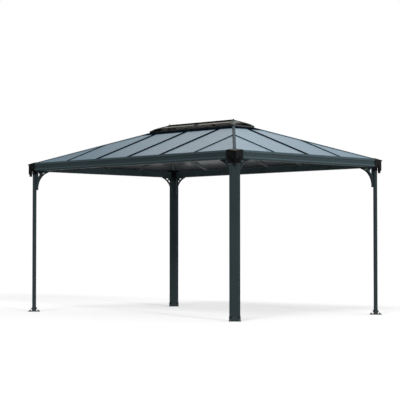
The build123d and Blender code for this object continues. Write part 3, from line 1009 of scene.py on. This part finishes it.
@dataclass
class EaveTrims(Assembly):
    """The channels that close the flutes along the lower edge of each roof sheet."""

    sheet: float = 0.006
    wall: float = 0.0012
    depth: float = 0.014
    fit: float = 0.0002
    lip_clear: float = 0.0005

    def build(self) -> None:
        """Adds a channel to each sheet: a U-shaped profile carried along the eave between two bars."""
        layout, wall = self.layout, self.wall
        edge = -layout.overhang * layout.stretch()
        inner, deep, low, high = edge - self.fit, edge + self.depth, -self.sheet - self.fit, self.fit
        profile = np.array([(edge - wall, low - wall), (deep, low - wall), (deep, low), (inner, low),
                            (inner, high), (deep, high), (deep, high + wall), (edge - wall, high + wall)])
        trims = []
        for side in Side:
            bars = layout.bar_places(side)
            last = layout.half_span(side) - layout.corner_cut - layout.overhang
            clear = self.lip_clear + np.array([sum(layout.bar_sizes(side, bar)) for bar in bars])
            for ends in zip(np.append(-last, bars + clear), np.append(bars - clear, last)):
                trims.append(self.on_slope(swept(profile, np.outer(ends, ALONG), INWARDS, UP), side))
        add_piece("eave_trims", joined(trims), self.finishes.bar, CRISP)


@dataclass
class VentTrims(Assembly):
    """The cross bars that clamp the roof sheets' upper edges under the vent curb."""

    start: float = 0.2062
    width: float = 0.085
    bevel: float = 0.003
    lift: float = 0.0003
    gap: float = 0.001

    def build(self) -> None:
        """Adds a bar between each two glazing bars, and from the last ones to the hips, with a mitred end.

        Each is a bevelled profile carried along the curb: a point's end lies at the bar's edge, or at the
        hip's line, which is the half span less the point's distance in from the eave.
        """
        layout, high, low, bevel = self.layout, self.layout.bar_height, self.lift, self.bevel
        far, near = self.start + self.width, self.start
        profile = np.array([(far, low), (near, low), (near, high), (far - bevel, high), (far, high - bevel)])
        inwards = layout.half_y - profile[:, 0]
        level = layout.roof_at_posts + layout.rise * inwards + profile[:, 1]
        edge = layout.full_bar_half + layout.full_lip_and_painted_shade + self.gap
        trims = []
        for side in Side:
            hip = layout.half_span(side) - inwards - layout.hip_clear
            bars = [bar for bar in layout.bar_places(side) if not layout.is_jack(side, bar)]
            starts = [-hip] + [np.full_like(hip, bar + edge) for bar in bars]
            ends = [np.full_like(hip, bar - edge) for bar in bars] + [hip]
            for limits in zip(starts, ends):
                grid = np.stack([np.stack([along, inwards, level], -1) for along in limits])
                trims.append(self.on_side(capped(grid), side))
        add_piece("vent_trims", joined(trims), self.finishes.bar, CRISP)


@dataclass
class VentCovers(Assembly):
    """The folded covers over the vent cap's ridge and hips, and the boots that close the corners under them.

    A boot has a row on each side of the curb's inner edge and of the cap's edge, where its height jumps.
    """

    ridge_half: float = 0.650
    peak: float = 2.6982
    rise: float = 0.39
    ridge_cover_half: float = 0.052
    ridge_overrun: float = 0.004
    ridge_gap: float = 0.006
    hip_cover_half: float = 0.032
    cap_edge: float = 0.153
    cap_half: float = 0.150
    cap_jump: tuple[float, float] = (0.0003, 0.0008)
    cap_under: float = 2.6280
    corner: float = 0.207
    corner_height: float = 2.6030
    curb_height: float = 2.6009
    curb_rise: float = 0.3
    curb_inner: float = 0.135
    curb_jump: tuple[float, float] = (-0.001, 0.0005)
    boot_start: float = 0.075
    boot_low: float = 2.6185
    sheet: float = 0.0025
    gap: float = 0.0002

    def ridge_cover(self) -> Surface:
        """Returns the ridge's cover: a sheet that falls by the rise times the distance from its fold."""
        half, top = self.ridge_cover_half, self.sheet
        low = -self.rise * half
        fold = np.array([(half, low), (half, low + top), (0.0, top),
                         (-half, low + top), (-half, low), (0.0, 0.0)])
        ridge = np.outer(ENDS * (self.ridge_half + self.ridge_overrun), ALONG) + self.peak * UP
        return swept(fold, ridge, INWARDS, UP)

    def hip_strip(self, corner: Corner, runs: np.ndarray, tops: np.ndarray, unders: np.ndarray) -> Surface:
        """Makes a folded strip down one hip, whose outer end narrows to a point at the curb's corner.

        Its half width is the cover's, or root two times the distance to the corner where that is less.

        Args:
            corner: the corner that the hip leads to.
            runs: distances out from the ridge's end, for each row.
            tops: the fold's upper heights.
            unders: the fold's lower heights.

        Returns:
            The closed surface.
        """
        out, across, up = corner.axes()
        half = np.minimum(self.hip_cover_half, (self.corner - runs) * ROOT_TWO + self.gap)
        wide = np.stack([half, half, 0 * half, -half, -half, 0 * half], 1)
        height = np.stack([unders, tops, tops, tops, unders, unders], 1) - self.rise / ROOT_TWO * np.abs(wide)
        line = corner.value[0] * self.ridge_half * ALONG + (runs * ROOT_TWO)[:, None] * out
        return capped(line[:, None] + wide[..., None] * across + height[..., None] * up)

    def build(self) -> None:
        """Adds the ridge's cover, the four hips' covers and their boots, which stand on the curb."""
        add_piece("vent_ridge_cover", self.ridge_cover(), self.finishes.bar, CRISP)
        point = self.corner - self.hip_cover_half / ROOT_TWO
        runs = np.array([self.ridge_cover_half + self.ridge_gap, self.cap_edge, point, self.corner])
        line = np.interp(runs, [0.0, self.cap_edge, self.corner],
                         [self.peak, self.peak - self.rise * self.cap_edge, self.corner_height])
        steps = np.concatenate([[self.boot_start], self.curb_inner + np.array(self.curb_jump),
                                self.cap_half + np.array(self.cap_jump), [point, self.corner]])
        under_cap = steps < self.cap_half + np.mean(self.cap_jump)
        tops = np.where(under_cap, self.cap_under + self.rise * (self.cap_half - steps),
                        np.interp(steps, runs, line)) - self.gap
        curb = np.where(steps < self.curb_inner, self.boot_low,
                        self.curb_height + self.curb_rise * (self.layout.curb_eave - steps))
        covers = joined([self.hip_strip(corner, runs, line + self.sheet, line) for corner in Corner])
        boots = joined([self.hip_strip(corner, steps, tops, curb) for corner in Corner])
        # painted light: the covers' pale grey stands in for the light on the lit corner
        add_piece("vent_hip_covers", covers, self.finishes.cover, CRISP)
        add_piece("vent_corner_boots", boots, self.finishes.rubber, CRISP)


@dataclass
class CornerLids(Assembly):
    """The moulded lids over the corner connectors: soft-edged plates that fall outwards, with a skirt."""

    half: float = 0.0723
    inner: float = 0.055
    wall_share: float = 0.965
    wall: float = 0.0025
    seat: float = 2.1340
    middle: float = 2.1500
    fall: float = 0.21
    skirt: float = 0.018
    skirt_from: float = -0.30
    skirt_blend: float = 0.25
    edge: float = 0.003
    top_shares: tuple[float, float] = (0.6, 0.2)
    sharpness: float = 26.0
    smooth: float = 35.0
    columns: int = 96

    def outline(self, angles: np.ndarray) -> np.ndarray:
        """Gives the plan's radius at each angle from the corner's outward diagonal.

        A side at distance d whose normal stands at angle n lets the radius reach d / cos(angle - n); the
        sides are joined by a power mean, so that the corners between them are soft.

        Args:
            angles: the angles.

        Returns:
            The radii.
        """
        normals = np.radians([45.0, -45.0, 135.0, -135.0, 180.0])
        reach = np.array([self.half, self.half, self.half, self.half, self.inner])
        closeness = np.maximum(np.cos(angles[:, None] - normals), NEAR_NOUGHT) / reach
        return np.sum(closeness ** self.sharpness, 1) ** (-1 / self.sharpness)

    def shell(self) -> Surface:
        """Returns one lid in the corner's frame: rows are shares of the plan's radius, each at its height.

        The top's height is the middle's less the fall times the distance out; its edge is a quarter circle.
        """
        angles = around(self.columns)
        outside = np.clip((np.cos(angles) - self.skirt_from) / self.skirt_blend, 0.0, 1.0)
        low = self.seat - self.skirt * outside ** 2 * (3 - 2 * outside)
        turn = np.radians([0.0, 30.0, 60.0, 90.0])
        rounded = 1 - self.edge / self.half * (1 - np.cos(turn))
        shares = np.concatenate([[self.wall_share, self.wall_share, 1.0], rounded, self.top_shares])
        radii = shares[:, None] * self.outline(angles)
        plane = self.middle - self.fall * radii * np.cos(angles)
        drop = np.concatenate([self.edge * (1 - np.sin(turn)), [0.0, 0.0]])
        under = np.minimum(self.seat, plane[0] - self.wall)
        return turned(radii, np.concatenate([[under, low, low], plane[3:] - drop[:, None]]))

    def build(self) -> None:
        """Adds the four lids in place of the CAD ones."""
        shell = self.shell()
        for corner in Corner:
            name = corner.name.lower()
            lid = shell.stamped(corner.axes(), self.layout.corner_place(corner))
            piece = add_piece(f"{name}_moulded_lid", lid, self.finishes.plastic,
                              self.smooth)
            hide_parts(f"{name}_lid")


@dataclass
class ConnectorTrim(Assembly):
    """What is set on the connectors: a rubber strip down each chute, screws, and round plugs on the walls,
    whose black is painted shade for a dark opening at the foot of the wall.

    The last screw is in the gutter beam's recess, beside the bracket. A spot has its distance from the post,
    its height and its face's distance out from the posts' line.
    """

    chute_face: float = 0.086
    strip_seat: float = 0.0005
    strip_half: float = 0.0080
    strip_depth: float = 0.0022
    strip_foot: float = 1.987
    strip_head: float = 2.1155
    strip_columns: int = 13
    strip_rows: int = 5
    screw_radius: float = 0.0075
    screw_height: float = 0.0035
    screw_spots: Spots = ((0.060, 2.046, 0.0695), (0.060, 2.098, 0.0695), (0.300, 2.086, 0.061))
    plug_radius: float = 0.017
    plug_height: float = 0.005
    # painted shade: the black plug stands in for a dark opening at the wall's foot and the shade under the
    # box
    plug_spots: Spots = ((0.021, 2.048, 0.0695),)

    def strip(self) -> Surface:
        """Returns one strip in the corner's frame: half an ellipse carried straight up the chute's face."""
        angles = np.radians(np.linspace(-90.0, 90.0, self.strip_columns))
        profile = np.stack([self.strip_depth * np.cos(angles) - self.strip_seat,
                            self.strip_half * np.sin(angles)], -1)
        heights = np.linspace(self.strip_foot, self.strip_head, self.strip_rows)
        return swept(profile, np.outer(heights, UP) + self.chute_face * ALONG, ALONG, INWARDS)

    def plug(self) -> Surface:
        """Returns one plug standing on Z = 0: a stepped flange with a dished middle, turned about Z."""
        return turned(self.plug_radius * np.array([1.0, 1.0, 0.93, 0.72, 0.66, 0.2]),
                      self.plug_height * np.array([0.0, 0.5, 0.6, 1.0, 0.9, 0.55]))

    def build(self) -> None:
        """Adds the strips to the four corners, and the domed screws and the plugs to both sides of each."""
        screws = self.on_walls(dome(self.screw_radius, self.screw_height), self.screw_spots)
        plugs = self.on_walls(self.plug(), self.plug_spots)
        add_piece("chute_seals", self.on_corners(self.strip()), self.finishes.rubber)
        add_piece("corner_screws", screws, self.finishes.black_steel)
        add_piece("wall_plugs_painted_shade", plugs, self.finishes.rubber)


def aim(turn: float, height: float) -> tuple[float, float, float]:
    """Returns the unit direction at an azimuth and an elevation in degrees."""
    turn, height = math.radians(turn), math.radians(height)
    return math.cos(turn) * math.cos(height), math.sin(turn) * math.cos(height), math.sin(height)


@dataclass(frozen=True)
class Patch:
    """A bright part of the surroundings: its level grows towards one direction, given in degrees.

    The level goes from low to high as the cosine of the angle from that direction goes from start to stop.
    """

    turn: float
    height: float
    start: float
    stop: float
    low: float
    high: float

    def level(self, nodes: Nodes) -> Socket:
        """Adds the patch to the surroundings.

        Args:
            nodes: the world's nodes.

        Returns:
            The level.
        """
        way = nodes.add("ShaderNodeTexCoord", "Generated")
        dot = nodes.add("ShaderNodeVectorMath", "Value", {0: way, 1: aim(self.turn, self.height)},
                        operation="DOT_PRODUCT")
        return nodes.add("ShaderNodeMapRange", 0, {
            "Value": dot, "From Min": self.start, "From Max": self.stop, "To Min": self.low,
            "To Max": self.high}, interpolation_type="SMOOTHSTEP")


@dataclass
class Studio:
    """The plain pale floor, the soft lights and the camera at the photograph's place.

    The key stands beside the camera, a low lamp on its other side, and a broad fill on the right.
    """

    camera_place: tuple[float, float, float] = (14.8916, -14.4616, 0.8949)
    camera_yaw: float = 45.871
    camera_pitch: float = 1.936
    lens: float = 131.97
    sensor: float = 36.0
    sight: float = 200.0
    floor_half: float = 60.0
    lamp_distance: float = 16.0
    lamps: tuple[tuple[str, float, float, float, float], ...] = (
        ("key", -60.0, 40.0, 20.0, 1.35), ("low", -20.0, 16.0, 8.0, 1.65), ("fill", 45.0, 12.0, 30.0, 1.5))
    sky: Patch = Patch(40.0, 35.0, -0.3, 1.0, 0.119, 0.34)
    lit_side: Patch = Patch(40.0, 35.0, 0.3, 0.9, 0.04, 1.0)
    backdrop: Patch = Patch(134.6, 24.0, 0.975, 0.997, 0.0, 1.0)

    def floor(self) -> None:
        """Adds the floor as one flat face."""
        half = self.floor_half
        corners = [(-half, -half, 0), (half, -half, 0), (half, half, 0), (-half, half, 0)]
        mesh = bpy.data.meshes.new("floor")
        mesh.from_pydata(corners, [], [(0, 1, 2, 3)])
        mesh.materials.append(FloorPaper("matt_white_floor", "a8a8a8", "fafafa").material())
        floor = bpy.data.objects.new("floor", mesh)
        bpy.context.scene.collection.objects.link(floor)

    def world(self) -> None:
        """Sets the surroundings: white to the camera, and a studio that is brighter on the right elsewhere.

        What mirrors it sees the lit side and a soft patch of backdrop behind the gazebo.
        """
        world = bpy.data.worlds.new("studio")
        nodes = Nodes(world)
        path = nodes.add("ShaderNodeLightPath").node.outputs
        sharp = nodes.add("ShaderNodeMath", 0, {0: self.lit_side.level(nodes), 1: self.backdrop.level(nodes)},
                          operation="MAXIMUM")
        mirrored = nodes.add("ShaderNodeMath", 0, {0: path["Is Glossy Ray"], 1: path["Is Transmission Ray"]},
                             operation="MAXIMUM")
        studio = nodes.add("ShaderNodeMix", 0, {0: mirrored, 2: self.sky.level(nodes), 3: sharp},
                           data_type="FLOAT")
        strength = nodes.add("ShaderNodeMath", 0, {0: studio, 1: path["Is Camera Ray"]}, operation="MAXIMUM")
        sky = nodes.add("ShaderNodeBackground", 0, {"Color": linear(WHITE), "Strength": strength})
        nodes.add("ShaderNodeOutputWorld", inputs={0: sky}, is_active_output=True)
        bpy.context.scene.world = world

    def lamp(self, name: str, turn: float, height: float, width: float, strength: float) -> None:
        """Adds one distant soft lamp, which lights the floor as evenly as the gazebo. Nothing mirrors it.

        Args:
            name: name of the lamp.
            turn: its azimuth in degrees.
            height: its elevation in degrees.
            width: the angle in degrees that it fills.
            strength: its light in watts per square metre.
        """
        data = bpy.data.lights.new(name, "SUN")
        data.angle, data.energy = math.radians(width), strength
        lamp = bpy.data.objects.new(name, data)
        lamp.visible_glossy = False
        lamp.location = self.lamp_distance * np.array(aim(turn, height))
        lamp.rotation_euler = (math.radians(90.0 - height), 0.0, math.radians(turn + 90.0))
        bpy.context.scene.collection.objects.link(lamp)

    def camera(self) -> None:
        """Adds the camera where the photograph was taken from."""
        data = bpy.data.cameras.new("camera")
        data.lens, data.sensor_width, data.clip_end = self.lens, self.sensor, self.sight
        camera = bpy.data.objects.new("camera", data)
        camera.location = self.camera_place
        camera.rotation_euler = (math.radians(90.0 + self.camera_pitch), 0.0, math.radians(self.camera_yaw))
        bpy.context.scene.collection.objects.link(camera)
        bpy.context.scene.camera = camera

    def build(self) -> None:
        """Sets up the whole studio."""
        self.camera()
        self.floor()
        self.world()
        for lamp in self.lamps:
            self.lamp(*lamp)
        bpy.context.scene.view_settings.view_transform = "Standard"


def main() -> None:
    logging.basicConfig(level=logging.INFO, format="%(name)s: %(message)s")
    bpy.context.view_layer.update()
    finishes = Finishes()
    finishes.dress(frame["nodes"], frame["record"]["subparts"])
    for assembly in (FootFixings, PostSeals, GutterGaskets, GutterRolls, BarDress, HipSeals, EaveTrims,
                     VentTrims, VentCovers, CornerLids, ConnectorTrim):
        assembly(Layout(), finishes).build()
    Studio().build()


if __name__ == "__main__":
    main()
